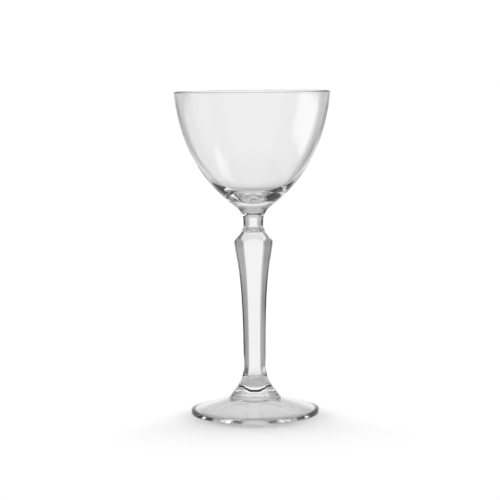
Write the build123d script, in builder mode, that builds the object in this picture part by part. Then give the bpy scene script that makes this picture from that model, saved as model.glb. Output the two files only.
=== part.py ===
"""Nick and Nora glass: a bowl, a six-sided pulled stem and a round foot, fused where they meet.

Millimetres, +Z up. The origin is on the table, on the glass's own axis.
Angles are in degrees from upright, and slopes in degrees from level.
"""

import os
from math import asin, cos, radians, sin, sqrt, tan

from build123d import *

# Whole glass
overall_height = 162.5

# Bowl
rim_diameter = 78.3
rim_wall = 1.0
rim_angle = 6.2
rim_pull = 35.6
bowl_base_angle = 52.3
bowl_base_pull = 12.6
bowl_floor_thickness = 9.3
inside_rim_pull = 13.0
inside_floor_pull = 26.5

# Neck, which the bowl and the stem share
neck_diameter = 10.0
neck_length = 2.6
neck_sweep = 9.0
bowl_seam_rise = 2.7

# Stem
collar_diameter = 13.3
collar_angle = 26.0
shoulder_diameter = 19.3
shoulder_height = 86.8
shoulder_round = 2.4
shoulder_angle = 39.0
shaft_angle = 4.1
shaft_pull = 9.3
waist_diameter = 11.18
waist_height = 30.0
waist_angle = 0.3
waist_pull_up = 46.2
waist_pull_down = 12.0
flare_diameter = 25.1
flare_angle = 36.8
flare_pull = 11.4
flare_edge_round = 0.3
facet_count = 6
shaft_corner_ease = 0.2
flare_corner_ease = 0.9

# Foot
foot_diameter = 64.6
foot_pad_margin = 0.2
foot_sweep_width = 0.7
foot_sweep_rise = 0.75
foot_top_slope = 16.6
foot_edge_height = 2.2
foot_edge_top_round = 0.5
foot_edge_bottom_round = 0.6
contact_ring_width = 2.0
underside_slope = 15.0
underside_crown_round = 30.0

rim_radius = rim_diameter / 2
neck_radius = neck_diameter / 2
collar_radius = collar_diameter / 2
shoulder_radius = shoulder_diameter / 2
waist_radius = waist_diameter / 2
flare_radius = flare_diameter / 2
foot_radius = foot_diameter / 2


def along(point, angle, length):
    """The point that lies length away from point, at angle from upright, towards larger radius."""
    radius, height = point
    return (radius + length * sin(radians(angle)), height + length * cos(radians(angle)))


# Below the neck a steep collar meets a flatter shoulder, which is rounded into the top of the shaft.
shoulder_centre = (shoulder_radius - shoulder_round, shoulder_height)
shoulder_top = along(shoulder_centre, 90 - shoulder_angle, shoulder_round)
shoulder_side = (shoulder_radius, shoulder_height)
shaft_top = along(shoulder_centre, 90 + shaft_angle, shoulder_round)
shoulder_rise = (shoulder_top[0] - collar_radius) / tan(radians(shoulder_angle))
collar_edge = (collar_radius, shoulder_top[1] + shoulder_rise)
collar_rise = (collar_radius - neck_radius) / tan(radians(collar_angle))
neck_foot = (neck_radius, collar_edge[1] + collar_rise)

# Above the collar the neck is straight, then an arc that runs into the bowl at the bowl's base angle.
neck_height = neck_foot[1] + neck_length
neck_low = (neck_radius, neck_height)
neck_centre_radius = neck_radius + neck_sweep
bowl_base = (
    neck_centre_radius - neck_sweep * cos(radians(bowl_base_angle)),
    neck_height + neck_sweep * sin(radians(bowl_base_angle)),
)


def neck_point(height):
    """The point of the neck's arc at this height."""
    return (neck_centre_radius - sqrt(neck_sweep**2 - (height - neck_height) ** 2), height)


def neck_between(low, high):
    """The height halfway along the neck's arc between two of its heights."""
    turns = [asin((height - neck_height) / neck_sweep) for height in (low, high)]
    return neck_height + neck_sweep * sin(sum(turns) / 2)


bowl_seam_height = neck_height + bowl_seam_rise
bowl_floor_height = bowl_seam_height + bowl_floor_thickness
seam_point = neck_point(bowl_seam_height)

# The lip is a half round across the wall, square to it.
lip_round = rim_wall / 2
lip_centre = (rim_radius - lip_round, overall_height - lip_round)
lip_top = (lip_centre[0], overall_height)
lip_outer = along(lip_centre, rim_angle + 90, lip_round)
lip_inner = along(lip_centre, rim_angle - 90, lip_round)

with BuildPart() as bowl:
    with BuildSketch(Plane.XZ):
        with BuildLine():
            neck_middle = neck_point(neck_between(bowl_seam_height, bowl_base[1]))
            floor_centre = (0, bowl_floor_height)
            Line((0, bowl_seam_height), seam_point)
            ThreePointArc(seam_point, neck_middle, bowl_base)
            Bezier(
                bowl_base,
                along(bowl_base, bowl_base_angle, bowl_base_pull),
                along(lip_outer, rim_angle, -rim_pull),
                lip_outer,
            )
            ThreePointArc(lip_outer, lip_top, lip_inner)
            Bezier(
                lip_inner,
                along(lip_inner, rim_angle, -inside_rim_pull),
                (inside_floor_pull, bowl_floor_height),
                floor_centre,
            )
            Line(floor_centre, (0, bowl_seam_height))
        make_face()
    revolve(axis=Axis.Z)

# The foot's top is a cone that sweeps up to the flat pad under the stem.
foot_pad_radius = flare_radius + foot_pad_margin
foot_sweep_radius = foot_pad_radius + foot_sweep_width
foot_cone_rise = (foot_radius - foot_sweep_radius) * tan(radians(foot_top_slope))
foot_sweep_start = (foot_sweep_radius, foot_edge_height + foot_cone_rise)
foot_seam_height = foot_sweep_start[1] + foot_sweep_rise
foot_pad_edge = (foot_pad_radius, foot_seam_height)

# The foot's underside is a hollow cone with a round crown, inside the ring that the glass stands on.
contact_ring_inside = foot_radius - foot_edge_bottom_round - contact_ring_width
crown_radius = underside_crown_round * sin(radians(underside_slope))
crown_edge = (crown_radius, (contact_ring_inside - crown_radius) * tan(radians(underside_slope)))
crown_rise = underside_crown_round * (1 - cos(radians(underside_slope)))
underside_middle = (0, crown_edge[1] + crown_rise)

waist = (waist_radius, waist_height)
flare_edge = (flare_radius, foot_seam_height)


def corner(point, ease):
    """A point of the line that the stem's rounded corners follow."""
    return point


def flat(point, ease):
    """The point of a facet's middle line beside a point of the corner line, which rounds its corner by ease."""
    radius, height = point
    return ((radius + ease) * cos(radians(180 / facet_count)), height)


def shaft_and_flare(place):
    """Draws the line from the shaft's top to the edge of the flare, with each control point placed."""
    Bezier(
        place(shaft_top, shaft_corner_ease),
        place(along(shaft_top, shaft_angle, -shaft_pull), shaft_corner_ease),
        place(along(waist, waist_angle, waist_pull_up), shaft_corner_ease),
        place(waist, shaft_corner_ease),
    )
    Bezier(
        place(waist, shaft_corner_ease),
        place(along(waist, waist_angle, -waist_pull_down), shaft_corner_ease),
        place(along(flare_edge, -flare_angle, flare_pull), flare_corner_ease),
        place(flare_edge, flare_corner_ease),
    )


with BuildPart() as stem:
    with BuildSketch(Plane.XZ):
        with BuildLine():
            neck_middle = neck_point(neck_between(neck_height, bowl_seam_height))
            Line((0, bowl_seam_height), seam_point)
            ThreePointArc(seam_point, neck_middle, neck_low)
            Polyline(neck_low, neck_foot, collar_edge, shoulder_top)
            ThreePointArc(shoulder_top, shoulder_side, shaft_top)
            shaft_and_flare(corner)
            Polyline(flare_edge, (0, foot_seam_height), (0, bowl_seam_height))
        make_face()
    revolve(axis=Axis.Z)
    for facet in range(facet_count // 2):
        facet_turn = 90 + facet * 360 / facet_count
        with BuildSketch(Plane.XZ.rotated((0, 0, facet_turn)).offset(-flare_diameter)):
            with BuildLine():
                facet_top = flat(shaft_top, shaft_corner_ease)
                facet_end = (facet_top[0], bowl_seam_height)
                shaft_and_flare(flat)
                Polyline(facet_top, facet_end, (0, bowl_seam_height))
                Polyline((0, bowl_seam_height), (0, foot_seam_height), flat(flare_edge, flare_corner_ease))
            make_face()
            mirror(about=Plane.YZ)
        extrude(amount=2 * flare_diameter, mode=Mode.INTERSECT)
    fillet(stem.faces().sort_by(Axis.Z)[0].edges(), flare_edge_round)

with BuildPart() as foot:
    with BuildSketch(Plane.XZ) as foot_profile:
        with BuildLine():
            uphill = (-cos(radians(foot_top_slope)), sin(radians(foot_top_slope)))
            ring_inside = (contact_ring_inside, 0)
            edge_bottom = (foot_radius, 0)
            edge_top = (foot_radius, foot_edge_height)
            TangentArc(underside_middle, crown_edge, tangent=(1, 0))
            Polyline(crown_edge, ring_inside, edge_bottom, edge_top, foot_sweep_start)
            TangentArc(foot_sweep_start, foot_pad_edge, tangent=uphill)
            Polyline(foot_pad_edge, (0, foot_seam_height), underside_middle)
        make_face()
        edge_corners = foot_profile.vertices().group_by(Axis.X)[-1].sort_by(Axis.Y)
        fillet(edge_corners[0], foot_edge_bottom_round)
        edge_corners = foot_profile.vertices().group_by(Axis.X)[-1].sort_by(Axis.Y)
        fillet(edge_corners[-1], foot_edge_top_round)
    revolve(axis=Axis.Z)

bowl.part.label = "bowl"
stem.part.label = "stem"
foot.part.label = "foot"

os.makedirs("parts", exist_ok=True)
export_step(bowl.part, "parts/bowl.step")
export_step(stem.part, "parts/stem.step")
export_step(foot.part, "parts/foot.step")
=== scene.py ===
"""A clear nick and nora glass, drawn over its packed solids and set in a white studio.

Lengths are in metres, in the frame of the packed model: the glass stands on the floor at the origin, +Z up.
Angles are in radians from upright unless a name says otherwise.
"""

import math
from typing import NamedTuple

import bpy
import numpy as np
from bpy.props import FloatProperty, FloatVectorProperty, IntProperty, PointerProperty
from mathutils import Matrix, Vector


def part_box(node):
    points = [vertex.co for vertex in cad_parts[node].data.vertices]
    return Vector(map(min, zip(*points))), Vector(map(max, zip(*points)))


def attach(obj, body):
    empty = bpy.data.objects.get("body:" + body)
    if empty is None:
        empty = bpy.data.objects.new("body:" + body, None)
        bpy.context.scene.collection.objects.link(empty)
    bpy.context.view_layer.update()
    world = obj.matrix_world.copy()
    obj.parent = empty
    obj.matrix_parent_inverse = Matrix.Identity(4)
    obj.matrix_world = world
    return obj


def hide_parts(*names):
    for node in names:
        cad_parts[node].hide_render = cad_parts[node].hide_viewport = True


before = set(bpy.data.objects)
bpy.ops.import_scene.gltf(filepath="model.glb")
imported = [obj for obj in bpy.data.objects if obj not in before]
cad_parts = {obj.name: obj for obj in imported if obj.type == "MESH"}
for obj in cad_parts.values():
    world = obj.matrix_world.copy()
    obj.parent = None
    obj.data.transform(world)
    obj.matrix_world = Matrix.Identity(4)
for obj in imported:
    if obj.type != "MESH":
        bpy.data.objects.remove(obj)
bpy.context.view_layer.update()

bl_info = {
    "name": "Nick and Nora Glass",
    "version": (1, 0, 0),
    "blender": (4, 5, 0),
    "location": "View3D > Sidebar > Glass",
    "description": "Draws a stemmed cocktail glass in three fused pieces and sets it in a white studio",
    "category": "Add Mesh",
}

BOWL_LOW, BOWL_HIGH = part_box("bowl")
STEM_LOW, STEM_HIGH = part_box("stem")
FOOT_LOW, FOOT_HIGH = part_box("foot")

# How finely the pieces are drawn: points round the axis, and rows across a fused face, round the flare's edge and
# from the edge of the foot's pad to the stem.
COLUMNS = 240
SEAM_ROWS = 8
FLARE_EDGE_ROWS = 16
PAD_ROWS = 7
# How strongly the stem's points gather at its corners, and the step over which the flare's slope is measured.
CORNER_GATHER = 0.6
SLOPE_STEP = 0.0004
# Edges that turn by more than this stay sharp.
CREASE = math.radians(12)
# The part of the noise, from 0 to 1, over which a smear comes in.
SMEAR_START, SMEAR_FULL = 0.5, 0.75
FLOOR_HALF_WIDTH = 20.0


def length(label, words, metres):
    """A length that can be changed, in metres."""
    return FloatProperty(name=label, description=words, default=metres, min=0, precision=5, unit="LENGTH")


def slant(label, words, degrees):
    """An angle that can be changed, given here in degrees and kept in radians."""
    return FloatProperty(name=label, description=words, default=math.radians(degrees), subtype="ANGLE")


def share(label, words, value, most=1.0):
    """A plain number that can be changed."""
    return FloatProperty(name=label, description=words, default=value, min=0, max=most, precision=4)


class NeckSizes(bpy.types.PropertyGroup):
    """The neck, which the bowl and the stem share."""

    radius: length("Neck radius", "Radius of the neck where it is thinnest", 0.005)
    height: length("Neck height", "Height at which the neck starts to sweep out into the bowl", 0.097337)
    sweep: length("Neck sweep", "Radius of the arc from the neck into the bowl", 0.009)


class BowlSizes(bpy.types.PropertyGroup):
    """The blown bowl."""

    seam_height: length("Seam height", "Height at which the bowl is fused to the stem", BOWL_LOW.z)
    rim_height: length("Rim height", "Height of the lip above the table", BOWL_HIGH.z)
    rim_radius: length("Rim radius", "Outer radius of the lip", BOWL_HIGH.x)
    rim_wall: length("Rim wall", "Thickness of the lip", 0.001)
    rim_angle: slant("Rim angle", "Lean of the wall at the lip", 6.2)
    rim_pull: length("Rim pull", "Reach of the outside curve below the lip", 0.0356)
    base_angle: slant("Base angle", "Lean of the outside where the neck runs into it", 52.3)
    base_pull: length("Base pull", "Reach of the outside curve above the neck", 0.0126)
    floor_height: length("Floor height", "Height of the bottom of the hollow", 0.109337)
    inside_rim_pull: length("Inside rim pull", "Reach of the inside curve below the lip", 0.013)
    inside_floor_pull: length("Inside floor pull", "Reach of the inside curve from the floor's middle", 0.0265)


class StemSizes(bpy.types.PropertyGroup):
    """The pressed six-sided stem."""

    top_height: length("Top height", "Height at which the stem is fused to the bowl", STEM_HIGH.z)
    base_height: length("Base height", "Height at which the stem is fused to the foot", STEM_LOW.z)
    collar_radius: length("Collar radius", "Radius of the crease below the neck", 0.00665)
    collar_angle: slant("Collar angle", "Slope of the collar above the crease", 26.0)
    shoulder_radius: length("Shoulder radius", "Largest radius of the stem's top", 0.00965)
    shoulder_height: length("Shoulder height", "Height of the largest radius", 0.0868)
    shoulder_round: length("Shoulder round", "Rounding of the shoulder into the shaft", 0.0024)
    shoulder_angle: slant("Shoulder angle", "Slope of the shoulder below the crease", 39.0)
    shaft_angle: slant("Shaft angle", "Lean of the shaft at its top", 4.1)
    shaft_pull: length("Shaft pull", "Reach of the shaft's curve below the shoulder", 0.0093)
    waist_radius: length("Waist radius", "Radius to the corners where the shaft is thinnest", 0.00559)
    waist_height: length("Waist height", "Height of the thinnest part", 0.030)
    waist_angle: slant("Waist angle", "Lean of the shaft at the waist", 0.3)
    waist_pull_up: length("Waist pull up", "Reach of the shaft's curve above the waist", 0.0462)
    waist_pull_down: length("Waist pull down", "Reach of the flare's curve below the waist", 0.012)
    flare_radius: length("Flare radius", "Radius to the corners at the foot, before rounding", 0.01255)
    flare_angle: slant("Flare angle", "Slope of the flare at the foot", 36.8)
    flare_pull: length("Flare pull", "Reach of the flare's curve above the foot", 0.0114)
    flare_edge_round: length("Flare edge round", "Rounding of the flare's edge over the foot", 0.0003)
    facet_count: IntProperty(name="Facets", description="Flats around the stem", default=6, min=3)
    shaft_corner_ease: length("Shaft corner ease", "How much the shaft's corners are rounded off", 0.0002)
    flare_corner_ease: length("Flare corner ease", "How much the flare's corners are rounded off", 0.0009)
    corner_melt: length("Corner melt", "How far fire polishing softens each corner", 0.00012)


class FootSizes(bpy.types.PropertyGroup):
    """The round foot."""

    radius: length("Foot radius", "Radius of the foot", FOOT_HIGH.x)
    top_height: length("Top height", "Height of the flat that the stem is fused to", FOOT_HIGH.z)
    pad_radius: length("Pad radius", "Radius of the flat under the stem", 0.01275)
    edge_height: length("Edge height", "Height of the upright edge", 0.0022)
    edge_top_round: length("Edge top round", "Rounding of the edge's top", 0.0005)
    edge_bottom_round: length("Edge bottom round", "Rounding of the edge's bottom", 0.0006)
    cone_angle: slant("Cone angle", "Slope of the top from level", 16.6)
    sweep_radius: length("Sweep radius", "Radius at which the top starts to sweep up to the stem", 0.01345)
    contact_ring_width: length("Contact ring width", "Width of the ring that the glass stands on", 0.002)
    underside_angle: slant("Underside angle", "Slope of the hollow under the foot, from level", 15.0)
    crown_round: length("Crown round", "Radius of the arc over the middle of the hollow", 0.03)


class GlassFinish(bpy.types.PropertyGroup):
    """The clear glass of all three pieces."""

    tint: FloatVectorProperty(
        name="Tint",
        description="Colour of the glass",
        default=(0.99, 0.99, 0.99),
        size=3,
        subtype="COLOR",
        min=0,
        max=1,
    )
    index: share("Refractive index", "How strongly the glass bends light", 1.5, 3.0)
    haze: share("Haze", "Roughness of the faint smears left by wiping", 0.03)
    haze_length: length("Haze length", "Usual size of a smear", 0.022)
    ripple_length: length("Ripple length", "Usual distance between the ripples left by shaping", 0.011)
    ripple_height: length("Ripple height", "Height of the ripples", 0.000012)


class StudioSetting(bpy.types.PropertyGroup):
    """The camera, the floor and the light round the glass."""

    camera_distance: length("Camera distance", "Distance of the camera from the glass, along the floor", 0.905)
    camera_height: length("Camera height", "Height of the camera above the floor", 0.1758)
    camera_aside: length("Camera aside", "How far the camera stands to the left of the glass", 0.0018)
    camera_pitch: slant("Camera pitch", "How far the camera looks down", 5.865)
    camera_roll: slant("Camera roll", "How far the camera leans to the right", 0.6)
    lens: FloatProperty(
        name="Lens", description="Focal length for a 36 mm frame", default=130.2, unit="CAMERA"
    )
    bounces: IntProperty(
        name="Bounces", description="How often light may turn inside the glass", default=32, min=4
    )
    floor_white: share("Floor white", "How pale the floor is", 0.96)
    daylight: share("Daylight", "Brightness of the white room that the camera sees", 1.08, 10)
    fill: share("Fill", "Brightness of the room that lights the floor, round the low light", 0.45, 10)
    room: share("Room", "Brightness of the room that the glass sees round the panels", 0.35, 10)
    shade_middle: share("Shade in the middle", "How much of the floor shows through the foot's middle", 0.55)
    shade_radius: length("Shade radius", "Radius at which the shade starts to deepen towards the ring", 0.02)
    shade_fade: length("Shade fade", "How far outside the foot the floor is lost among the panels", 0.004)


class Panel(NamedTuple):
    """A soft patch of light or shade round the glass, with its angles in degrees.

    Turn is the compass angle from straight ahead, positive to the right, and rise the angle above level.
    Each edge fades over the angle given for it.
    """

    brightness: float
    turn: tuple
    turn_fade: tuple
    rise: tuple
    rise_fade: tuple


ALL_ROUND = (-190, 190)
# What the glass sees round it, laid over the dim room in this order.
PANELS = {
    "sky": Panel(0.6, (-14, 14), (20, 20), (16, 66), (6, 6)),
    "top": Panel(0.12, ALL_ROUND, (1, 1), (72, 91), (6, 1)),
    "table": Panel(0.8, ALL_ROUND, (1, 1), (-91, -12), (1, 5)),
    "steep table": Panel(0.45, ALL_ROUND, (1, 1), (-91, -56), (1, 8)),
    "near table": Panel(0.5, (-40, 40), (20, 20), (-91, -34), (1, 8)),
    "right flag": Panel(0.03, (42, 125), (8, 10), (-9, 70), (4, 6)),
    "left flag": Panel(0.03, (-125, -44), (10, 10), (-9, 70), (4, 6)),
    "right table edge": Panel(0.16, (34, 54), (12, 5), (-34, -11), (8, 3)),
    "left table edge": Panel(0.25, (-37, -33), (4, 8), (-34, -14), (8, 3)),
    "left horizon": Panel(0.33, (-50, -34), (6, 8), (-14, -7), (3, 3)),
    "left window": Panel(0.8, (-96, -84), (9, 9), (-10, 6), (4, 4)),
    "right glow": Panel(2.0, (60, 100), (1, 12), (-30, -12), (6, 4)),
    "left glow": Panel(0.95, (-108, -76), (12, 1), (-30, -12), (6, 4)),
    "key box": Panel(1.2, (44, 96), (4, 4), (36, 52), (3, 3)),
    "backdrop edge": Panel(0.44, (-34, 36), (10, 10), (-14, 10), (5, 8)),
    "backdrop": Panel(0.93, (-8, 8), (18, 18), (-16, 8), (8, 10)),
}
# What lights the floor from behind the glass.
LOW_LIGHT = Panel(40.0, (-45, 45), (30, 30), (0, 8), (1, 9))


class Wire:
    """A socket of a node tree. Arithmetic on it adds Math nodes and gives the socket of the result."""

    def __init__(self, shader, socket):
        self.shader, self.socket = shader, socket

    def also(self, name):
        """Another output of the same node."""
        return Wire(self.shader, self.socket.node.outputs[name])

    def maths(self, operation, *others, first=None):
        """A Math node on this socket and the others, with this one second where first is given."""
        values = [self, *others] if first is None else [first, self]
        return self.shader.node("ShaderNodeMath", {"operation": operation}, dict(enumerate(values)))

    def __add__(self, other):
        return self.maths("ADD", other)

    __radd__ = __add__

    def __mul__(self, other):
        return self.maths("MULTIPLY", other)

    __rmul__ = __mul__

    def __sub__(self, other):
        return self.maths("SUBTRACT", other)

    def __rsub__(self, other):
        return self.maths("SUBTRACT", first=other)


class Shader:
    """A node tree that is written as expressions."""

    def __init__(self, tree):
        self.tree = tree
        tree.nodes.clear()

    def node(self, kind, settings=None, sockets=None, out=0):
        """Adds a node: its settings, then a value or a Wire for each socket. Gives one output as a Wire."""
        made = self.tree.nodes.new(kind)
        for name, value in (settings or {}).items():
            setattr(made, name, value)
        for name, value in (sockets or {}).items():
            if isinstance(value, Wire):
                self.tree.links.new(value.socket, made.inputs[name])
            else:
                made.inputs[name].default_value = value
        return Wire(self, made.outputs[out]) if made.outputs else None

    def rise(self, value, low, high):
        """0 below low, 1 above high, and a smooth step between them."""
        sockets = {"Value": value, "From Min": low, "From Max": high}
        return self.node("ShaderNodeMapRange", {"interpolation_type": "SMOOTHSTEP"}, sockets)

    def noise(self, place, size, detail):
        """Soft noise from 0 to 1 whose blotches are about this size."""
        sockets = {"Vector": place, "Scale": 1 / size, "Detail": detail}
        return self.node("ShaderNodeTexNoise", {}, sockets, out="Fac")


def along(point, angle, reach):
    """The point that lies reach away from point at angle from upright, towards larger radius."""
    return np.array([point[0] + reach * math.sin(angle), point[1] + reach * math.cos(angle)])


def line(start, end, count):
    """Points from start to end: start plus a share of the way between them."""
    part = np.linspace(0, 1, count)[:, None]
    return np.asarray(start, float) * (1 - part) + np.asarray(end, float) * part


def curve(a, b, c, d, count):
    """Points of the cubic curve with these control points: the third-order Bernstein sum of the four."""
    t = np.linspace(0, 1, count)[:, None]
    a, b, c, d = (np.asarray(p, float) for p in (a, b, c, d))
    return (1 - t) ** 3 * a + 3 * (1 - t) ** 2 * t * b + 3 * (1 - t) * t**2 * c + t**3 * d


def arc(centre, radius, start, end, count):
    """Points of an arc: the centre plus radius times (cosine, sine) of angles from start to end, from level."""
    turn = np.linspace(start, end, count)
    return np.stack([centre[0] + radius * np.cos(turn), centre[1] + radius * np.sin(turn)], -1)


def joined(*runs):
    """One profile from runs that each start where the last one ended."""
    return np.concatenate([runs[0], *[run[1:] for run in runs[1:]]])


def closed_surface(name, x, y, z, fused, materials):
    """A closed mesh on a grid: rows go from one pole on the axis to the other, columns go once round the axis.

    The first and last rows are single points. fused is true for each band of faces that lies in a fused seam.
    """
    rows, columns = x.shape
    grid = np.stack([x, y, z], -1)
    points = np.concatenate([grid[:1, 0], grid[1:-1].reshape(-1, 3), grid[-1:, 0]])
    here = 1 + np.arange((rows - 2) * columns).reshape(rows - 2, columns)
    there = np.roll(here, -1, axis=1)
    first = np.stack([np.zeros(columns, int), there[0], here[0]], -1)
    quads = np.stack([here[:-1], there[:-1], there[1:], here[1:]], -1).reshape(-1, 4)
    last = np.stack([np.full(columns, len(points) - 1), here[-1], there[-1]], -1)
    mesh = bpy.data.meshes.new(name)
    mesh.from_pydata(points.tolist(), [], first.tolist() + quads.tolist() + last.tolist())
    for material in materials:
        mesh.materials.append(material)
    mesh.polygons.foreach_set("material_index", np.repeat(np.asarray(fused, np.int32), columns))
    mesh.polygons.foreach_set("use_smooth", np.ones(len(mesh.polygons), bool))
    mesh.set_sharp_from_angle(angle=CREASE)
    mesh.update()
    piece = bpy.data.objects.new(name, mesh)
    bpy.context.scene.collection.objects.link(piece)
    return piece


def turned(name, profile, fused, materials):
    """A closed mesh turned about the axis: each profile point (radius, height) becomes a ring of points."""
    angle = np.arange(COLUMNS) * 2 * math.pi / COLUMNS
    x = profile[:, :1] * np.cos(angle)
    y = profile[:, :1] * np.sin(angle)
    z = np.broadcast_to(profile[:, 1:], x.shape)
    return closed_surface(name, x, y, z, fused, materials)


def set_in_place(piece, node):
    """Puts a finished piece in the frame, in the place of its solid."""
    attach(piece, "root")
    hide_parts(node)


def new_material(name):
    """A new material, and its node tree to write expressions in."""
    material = bpy.data.materials.new(name)
    material.use_nodes = True
    return material, Shader(material.node_tree)


def polished_glass(finish):
    """Clear glass with faint ripples from its shaping and faint smears from wiping, both soft noise."""
    if "polished_glass" in bpy.data.materials:
        return bpy.data.materials["polished_glass"]
    material, shader = new_material("polished_glass")
    place = shader.node("ShaderNodeTexCoord", out="Object")
    smears = shader.noise(place, finish.haze_length, 3.0)
    ripples = shader.noise(place, finish.ripple_length, 0.0)
    bump = {"Distance": finish.ripple_height, "Height": ripples}
    bent = shader.node("ShaderNodeBump", {}, bump, out="Normal")
    glass = shader.node(
        "ShaderNodeBsdfPrincipled",
        {},
        {
            "Base Color": (*finish.tint, 1),
            "Roughness": finish.haze * shader.rise(smears, SMEAR_START, SMEAR_FULL),
            "IOR": finish.index,
            "Transmission Weight": 1.0,
            "Normal": bent,
        },
    )
    shader.node("ShaderNodeOutputMaterial", {}, {"Surface": glass})
    return material


def fused_seam():
    """Where two pieces are fused the glass runs on, so the faces that meet there bend and mirror nothing."""
    if "fused_seam" in bpy.data.materials:
        return bpy.data.materials["fused_seam"]
    material, shader = new_material("fused_seam")
    through = shader.node("ShaderNodeBsdfTransparent")
    shader.node("ShaderNodeOutputMaterial", {}, {"Surface": through})
    return material


def neck_arc(neck, low, high, count):
    """Points of the neck's arc between two heights: its centre stands sweep outside the thinnest place."""
    centre = (neck.radius + neck.sweep, neck.height)
    turns = [math.pi - math.asin((height - neck.height) / neck.sweep) for height in (low, high)]
    return arc(centre, neck.sweep, *turns, count)


def bowl_profile(bowl, neck):
    """The bowl's half outline, from the middle of its seam up the outside, over the lip and down the inside.

    The outside is the neck's arc and a cubic curve, the lip is a half circle across the wall, and the inside
    is a cubic curve that ends level on the axis. Gives the points and how many bands of them lie in the seam.
    """
    base_height = neck.height + neck.sweep * math.sin(bowl.base_angle)
    sweep = neck_arc(neck, bowl.seam_height, base_height, count=28)
    half = bowl.rim_wall / 2
    lip_centre = np.array([bowl.rim_radius - half, bowl.rim_height - half])
    lip_outer = along(lip_centre, bowl.rim_angle + math.pi / 2, half)
    lip_inner = along(lip_centre, bowl.rim_angle - math.pi / 2, half)
    outside = curve(
        sweep[-1],
        along(sweep[-1], bowl.base_angle, bowl.base_pull),
        along(lip_outer, bowl.rim_angle, -bowl.rim_pull),
        lip_outer,
        count=120,
    )
    lip = arc(lip_centre, half, -bowl.rim_angle, math.pi - bowl.rim_angle, count=25)
    inside = curve(
        lip_inner,
        along(lip_inner, bowl.rim_angle, -bowl.inside_rim_pull),
        (bowl.inside_floor_pull, bowl.floor_height),
        (0, bowl.floor_height),
        count=120,
    )
    seam = line((0, bowl.seam_height), sweep[0], SEAM_ROWS)
    return joined(seam, sweep, outside, lip, inside), len(seam) - 1


def stem_lines(stem, neck):
    """The stem's half outline through its corners, from the neck's seam to the foot, and each point's ease.

    The shaft and the flare are two cubic curves. A facet's middle line is the same outline plus the ease, times
    the cosine of half a facet's turn; the ease of the flare follows its cubic curve too.
    """
    centre = np.array([stem.shoulder_radius - stem.shoulder_round, stem.shoulder_height])
    shoulder_top = along(centre, math.pi / 2 - stem.shoulder_angle, stem.shoulder_round)
    shaft_top = along(centre, math.pi / 2 + stem.shaft_angle, stem.shoulder_round)
    collar_height = shoulder_top[1] + (shoulder_top[0] - stem.collar_radius) / math.tan(stem.shoulder_angle)
    neck_foot = collar_height + (stem.collar_radius - neck.radius) / math.tan(stem.collar_angle)
    waist = np.array([stem.waist_radius, stem.waist_height])
    edge = np.array([stem.flare_radius, stem.base_height])
    upper = joined(
        neck_arc(neck, stem.top_height, neck.height, count=14),
        line((neck.radius, neck.height), (neck.radius, neck_foot), count=14),
        line((neck.radius, neck_foot), (stem.collar_radius, collar_height), count=20),
        line((stem.collar_radius, collar_height), shoulder_top, count=20),
        arc(centre, stem.shoulder_round, stem.shoulder_angle, -stem.shaft_angle, count=30),
    )
    shaft = curve(
        shaft_top,
        along(shaft_top, stem.shaft_angle, -stem.shaft_pull),
        along(waist, stem.waist_angle, stem.waist_pull_up),
        waist,
        count=110,
    )
    flare = curve(
        waist,
        along(waist, stem.waist_angle, -stem.waist_pull_down),
        along(edge, -stem.flare_angle, stem.flare_pull),
        edge,
        count=90,
    )
    eases = [(stem.shaft_corner_ease, 0)] * 2 + [(stem.flare_corner_ease, 0)] * 2
    ease = np.full(len(upper) + len(shaft) + len(flare) - 2, stem.shaft_corner_ease)
    ease[-len(flare):] = curve(*eases, len(flare))[:, 0]
    return joined(upper, shaft, flare), ease, shaft_top


def stem_radius(stem, neck, height, angle):
    """The stem's radius at a height and an angle round the axis.

    It is the softened smaller of two radii: that of the corner outline, and the distance to the nearest facet
    divided by the cosine of the angle to the facet's middle. Facets stand upright above the top of the shaft.
    The softening subtracts the corner melt times the log of one plus the exponential of minus the gap over the
    melt.
    """
    outline, ease, shaft_top = stem_lines(stem, neck)
    up = outline[::-1, 1]
    round_radius = np.interp(height, up, outline[::-1, 0])
    half_turn = math.pi / stem.facet_count
    flat_radius = (outline[:, 0] + ease) * math.cos(half_turn)
    upright_radius = (shaft_top[0] + stem.shaft_corner_ease) * math.cos(half_turn)
    flat_radius[outline[:, 1] > shaft_top[1]] = upright_radius
    from_middle = (angle + math.pi / 2 + half_turn) % (2 * half_turn) - half_turn
    facet_radius = np.interp(height, up, flat_radius[::-1]) / np.cos(from_middle)
    gap = np.abs(round_radius - facet_radius)
    melted = stem.corner_melt * np.log1p(np.exp(-gap / stem.corner_melt))
    return np.minimum(round_radius, facet_radius) - melted


def stem_angles(stem):
    """Angles round the stem, closer together near its corners: each is moved by a sine of the facet count."""
    even = np.arange(COLUMNS) * 2 * math.pi / COLUMNS
    return even - CORNER_GATHER / stem.facet_count * np.sin(stem.facet_count * even)


def flare_edge(stem, neck, angle):
    """The rounded edge over the foot at each angle: a circle that touches the base and the sloping side.

    Gives the slope there, the radius where the flat base starts and the height where the round starts.
    """
    low = stem_radius(stem, neck, np.full_like(angle, stem.base_height), angle)
    high = stem_radius(stem, neck, np.full_like(angle, stem.base_height + SLOPE_STEP), angle)
    slope = np.arctan((low - high) / SLOPE_STEP)
    flat = low - stem.flare_edge_round * (1 + np.sin(slope)) / np.cos(slope)
    return slope, flat, stem.base_height + stem.flare_edge_round * (1 + np.sin(slope))


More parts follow.
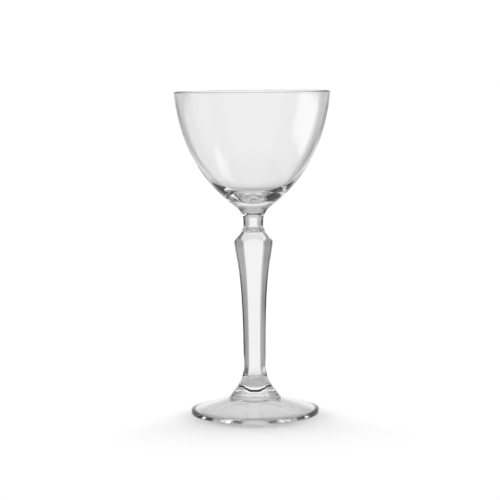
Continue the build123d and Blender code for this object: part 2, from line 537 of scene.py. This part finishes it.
def stem_grid(stem, neck):
    """The stem as rows from the middle of its base, up the side and to the middle of its top, by angle."""
    angle = stem_angles(stem)
    outline, _, _ = stem_lines(stem, neck)
    slope, flat, round_height = flare_edge(stem, neck, angle)
    reach = (outline[:, 1] - stem.base_height) / (stem.top_height - stem.base_height)
    height = round_height + reach[:, None] * (stem.top_height - round_height)
    radius = stem_radius(stem, neck, height, angle)
    turn = slope + np.linspace(0, 1, FLARE_EDGE_ROWS)[1:, None] * (-math.pi / 2 - slope)
    edge_radius = flat + stem.flare_edge_round * np.cos(turn)
    edge_height = stem.base_height + stem.flare_edge_round * (1 + np.sin(turn))
    inward = np.linspace(0, 1, SEAM_ROWS)[:, None]
    top_radius = inward[:-1] * radius[:1]
    base_radius = inward[::-1][1:] * flat
    radius = np.concatenate([top_radius, radius, edge_radius, base_radius])
    height = np.concatenate(
        [
            np.full_like(top_radius, stem.top_height),
            height,
            edge_height,
            np.full_like(base_radius, stem.base_height),
        ]
    )
    fused = np.zeros(len(radius) - 1, int)
    fused[: SEAM_ROWS - 1] = 1
    fused[-(SEAM_ROWS - 1):] = 1
    return angle, radius[::-1], height[::-1], fused[::-1]


def foot_profile(foot):
    """The foot's half outline, from the middle of its underside, round the edge and up to the edge of its pad.

    The underside is an arc over the middle and a straight slope to the contact ring. The top is a straight slope
    from the edge and then an arc that starts along it and ends on the pad.
    """
    ring = foot.radius - foot.edge_bottom_round - foot.contact_ring_width
    crown_reach = foot.crown_round * math.sin(foot.underside_angle)
    crown_drop = foot.crown_round * (1 - math.cos(foot.underside_angle))
    rise = (ring - crown_reach) * math.tan(foot.underside_angle) + crown_drop
    crown_turn = math.pi / 2 - foot.underside_angle
    crown = arc((0, rise - foot.crown_round), foot.crown_round, math.pi / 2, crown_turn, count=40)
    low = foot.edge_bottom_round
    back = foot.edge_top_round * math.tan((math.pi / 2 - foot.cone_angle) / 2)
    top_centre = (foot.radius - foot.edge_top_round, foot.edge_height - back)
    edge = joined(
        line((ring, 0), (foot.radius - low, 0), count=8),
        arc((foot.radius - low, low), low, -math.pi / 2, 0, count=12),
        line((foot.radius, low), (foot.radius, top_centre[1]), count=4),
        arc(top_centre, foot.edge_top_round, 0, math.pi / 2 - foot.cone_angle, count=14),
    )
    sweep_rise = (foot.radius - foot.sweep_radius) * math.tan(foot.cone_angle)
    sweep_low = np.array([foot.sweep_radius, foot.edge_height + sweep_rise])
    to_pad = np.array([foot.pad_radius, foot.top_height]) - sweep_low
    bend = math.atan2(to_pad[1], -to_pad[0]) - foot.cone_angle
    sweep_round = np.hypot(*to_pad) / (2 * math.sin(bend))
    sweep_centre = along(sweep_low, foot.cone_angle, sweep_round)
    sweep_start = -math.pi / 2 - foot.cone_angle
    sweep = arc(sweep_centre, sweep_round, sweep_start, sweep_start - 2 * bend, count=24)
    hollow = line(crown[-1], (ring, 0), count=30)
    cone = line(edge[-1], sweep_low, count=40)
    return joined(crown, hollow, edge, cone, sweep)


def foot_grid(foot, stem, neck):
    """The foot as rows from the middle of its underside, round the edge and in to the middle of its pad.

    The rows on the pad close in on the outline of the stem's base, so the fused faces lie under the stem.
    """
    angle = stem_angles(stem)
    _, flat, _ = flare_edge(stem, neck, angle)
    profile = foot_profile(foot)
    radius = np.broadcast_to(profile[:, :1], (len(profile), COLUMNS))
    height = np.broadcast_to(profile[:, 1:], radius.shape)
    pad = np.linspace(0, 1, PAD_ROWS)[1:, None]
    pad_radius = foot.pad_radius + pad * (flat - foot.pad_radius)
    inward = np.linspace(1, 0, SEAM_ROWS)[1:, None] * flat
    radius = np.concatenate([radius, pad_radius, inward])
    level = np.full_like(np.concatenate([pad_radius, inward]), foot.top_height)
    height = np.concatenate([height, level])
    fused = np.zeros(len(radius) - 1, int)
    fused[-len(inward):] = 1
    return angle, radius, height, fused


class MakeBowl(bpy.types.Operator):
    """Draws the bowl: a thin wall over a thick base"""

    bl_idname = "nick_nora.make_bowl"
    bl_label = "Make the bowl"

    def execute(self, context):
        scene = context.scene
        profile, seam_bands = bowl_profile(scene.glass_bowl, scene.glass_neck)
        fused = np.arange(len(profile) - 1) < seam_bands
        materials = [polished_glass(scene.glass_finish), fused_seam()]
        piece = turned("blown_bowl", profile, fused, materials)
        set_in_place(piece, "bowl")
        return {"FINISHED"}


class MakeStem(bpy.types.Operator):
    """Draws the stem: a neck and a shoulder over a six-sided shaft that flares to the foot"""

    bl_idname = "nick_nora.make_stem"
    bl_label = "Make the stem"

    def execute(self, context):
        scene = context.scene
        angle, radius, height, fused = stem_grid(scene.glass_stem, scene.glass_neck)
        materials = [polished_glass(scene.glass_finish), fused_seam()]
        x, y = radius * np.cos(angle), radius * np.sin(angle)
        piece = closed_surface("faceted_stem", x, y, height, fused, materials)
        set_in_place(piece, "stem")
        return {"FINISHED"}


class MakeFoot(bpy.types.Operator):
    """Draws the foot: a low cone with a rounded edge and a hollow underside"""

    bl_idname = "nick_nora.make_foot"
    bl_label = "Make the foot"

    def execute(self, context):
        scene = context.scene
        angle, radius, height, fused = foot_grid(scene.glass_foot, scene.glass_stem, scene.glass_neck)
        materials = [polished_glass(scene.glass_finish), fused_seam()]
        x, y = radius * np.cos(angle), radius * np.sin(angle)
        piece = closed_surface("round_foot", x, y, height, fused, materials)
        set_in_place(piece, "foot")
        return {"FINISHED"}


def studio_world(studio):
    """Soft light by direction.

    The camera sees a plain white room. The floor is lit all round, and by a low light behind the glass. The
    glass bends and mirrors a dim room with the panels laid over it in order.
    """
    world = bpy.data.worlds.new("studio")
    world.use_nodes = True
    shader = Shader(world.node_tree)
    way = shader.node("ShaderNodeTexCoord", out="Generated")
    x = shader.node("ShaderNodeSeparateXYZ", {}, {0: way}, out="X")
    turn = x.maths("ARCTAN2", x.also("Y"))
    rise = x.also("Z").maths("ARCSINE")

    def lay(light, brightness, mask):
        """The light so far, with something of this brightness laid over it where mask is 1."""
        return light + mask * (brightness - light)

    def within(value, span, fade):
        """1 inside the span, falling smoothly to 0 over the fade on either side."""
        low, high = (math.radians(edge) for edge in span)
        fade_low, fade_high = (math.radians(edge) for edge in fade)
        return shader.rise(value, low - fade_low, low) * (1 - shader.rise(value, high, high + fade_high))

    def add(light, panel):
        """The light so far, with the panel laid over it."""
        across = within(turn, panel.turn, panel.turn_fade)
        return lay(light, panel.brightness, across * within(rise, panel.rise, panel.rise_fade))

    for_glass = studio.room
    for panel in PANELS.values():
        for_glass = add(for_glass, panel)
    ray = shader.node("ShaderNodeLightPath", out="Is Camera Ray")
    light = lay(add(studio.fill, LOW_LIGHT), studio.daylight, ray)
    light = lay(light, for_glass, ray.also("Is Glossy Ray"))
    glow = shader.node("ShaderNodeBackground", {}, {"Color": (1, 1, 1, 1), "Strength": light})
    shader.node("ShaderNodeOutputWorld", {}, {"Surface": glow})
    return world


def floor_white(studio, foot):
    """Plain white floor, which the glass sees only under its own foot, where the floor lies in shade.

    It shows in part in the middle, and in full under the ring that the glass stands on. Further out the glass
    sees the panels instead.
    """
    material, shader = new_material("floor_white")
    paint = shader.node(
        "ShaderNodeBsdfPrincipled",
        {},
        {"Base Color": (*[studio.floor_white] * 3, 1), "Roughness": 1.0, "Specular IOR Level": 0.0},
    )
    place = shader.node("ShaderNodeTexCoord", out="Object")
    radius = shader.node("ShaderNodeVectorMath", {"operation": "LENGTH"}, {0: place}, out="Value")
    ring = foot.radius - foot.edge_bottom_round - foot.contact_ring_width
    under_ring = shader.rise(radius, studio.shade_radius, ring)
    under_foot = 1 - shader.rise(radius, foot.radius, foot.radius + studio.shade_fade)
    shade = (studio.shade_middle + (1 - studio.shade_middle) * under_ring) * under_foot
    glass = shader.node("ShaderNodeLightPath", out="Is Glossy Ray")
    clear = shader.node("ShaderNodeBsdfTransparent")
    surface = shader.node("ShaderNodeMixShader", {}, {0: glass * (1 - shade), 1: paint, 2: clear})
    shader.node("ShaderNodeOutputMaterial", {}, {"Surface": surface})
    return material


class SetStage(bpy.types.Operator):
    """Sets the floor, the studio light and the camera"""

    bl_idname = "nick_nora.set_stage"
    bl_label = "Set the stage"

    def execute(self, context):
        scene = context.scene
        studio = scene.glass_studio
        half = FLOOR_HALF_WIDTH
        corners = [(-half, -half, 0), (half, -half, 0), (half, half, 0), (-half, half, 0)]
        mesh = bpy.data.meshes.new("floor")
        mesh.from_pydata(corners, [], [(0, 1, 2, 3)])
        mesh.materials.append(floor_white(studio, scene.glass_foot))
        floor = bpy.data.objects.new("floor", mesh)
        scene.collection.objects.link(floor)
        scene.world = studio_world(studio)
        scene.view_settings.view_transform = "Standard"
        scene.cycles.max_bounces = studio.bounces
        scene.cycles.glossy_bounces = studio.bounces
        scene.cycles.transmission_bounces = studio.bounces
        camera = bpy.data.objects.new("camera", bpy.data.cameras.new("camera"))
        camera.data.lens = studio.lens
        place = Matrix.Translation((-studio.camera_aside, -studio.camera_distance, studio.camera_height))
        pitch = Matrix.Rotation(math.pi / 2 - studio.camera_pitch, 4, "X")
        camera.matrix_world = place @ pitch @ Matrix.Rotation(-studio.camera_roll, 4, "Z")
        scene.collection.objects.link(camera)
        scene.camera = camera
        return {"FINISHED"}


class GlassPanel(bpy.types.Panel):
    """The glass's pieces and its stage"""

    bl_idname = "VIEW3D_PT_nick_nora"
    bl_label = "Nick and Nora Glass"
    bl_space_type = "VIEW_3D"
    bl_region_type = "UI"
    bl_category = "Glass"

    def draw(self, context):
        for operator in OPERATORS:
            self.layout.operator(operator.bl_idname)
        for group in GROUPS:
            box = self.layout.box()
            box.label(text=group.__doc__)
            for name in group.bl_rna.properties.keys():
                if name not in ("rna_type", "name"):
                    box.prop(getattr(context.scene, GROUPS[group]), name)


GROUPS = {
    NeckSizes: "glass_neck",
    BowlSizes: "glass_bowl",
    StemSizes: "glass_stem",
    FootSizes: "glass_foot",
    GlassFinish: "glass_finish",
    StudioSetting: "glass_studio",
}
OPERATORS = (MakeBowl, MakeStem, MakeFoot, SetStage)


def register():
    for group, name in GROUPS.items():
        bpy.utils.register_class(group)
        setattr(bpy.types.Scene, name, PointerProperty(type=group))
    for item in (*OPERATORS, GlassPanel):
        bpy.utils.register_class(item)


def unregister():
    for item in (GlassPanel, *reversed(OPERATORS)):
        bpy.utils.unregister_class(item)
    for group, name in GROUPS.items():
        delattr(bpy.types.Scene, name)
        bpy.utils.unregister_class(group)


def main():
    register()
    bpy.ops.nick_nora.make_bowl()
    bpy.ops.nick_nora.make_stem()
    bpy.ops.nick_nora.make_foot()
    bpy.ops.nick_nora.set_stage()


if __name__ == "__main__":
    main()
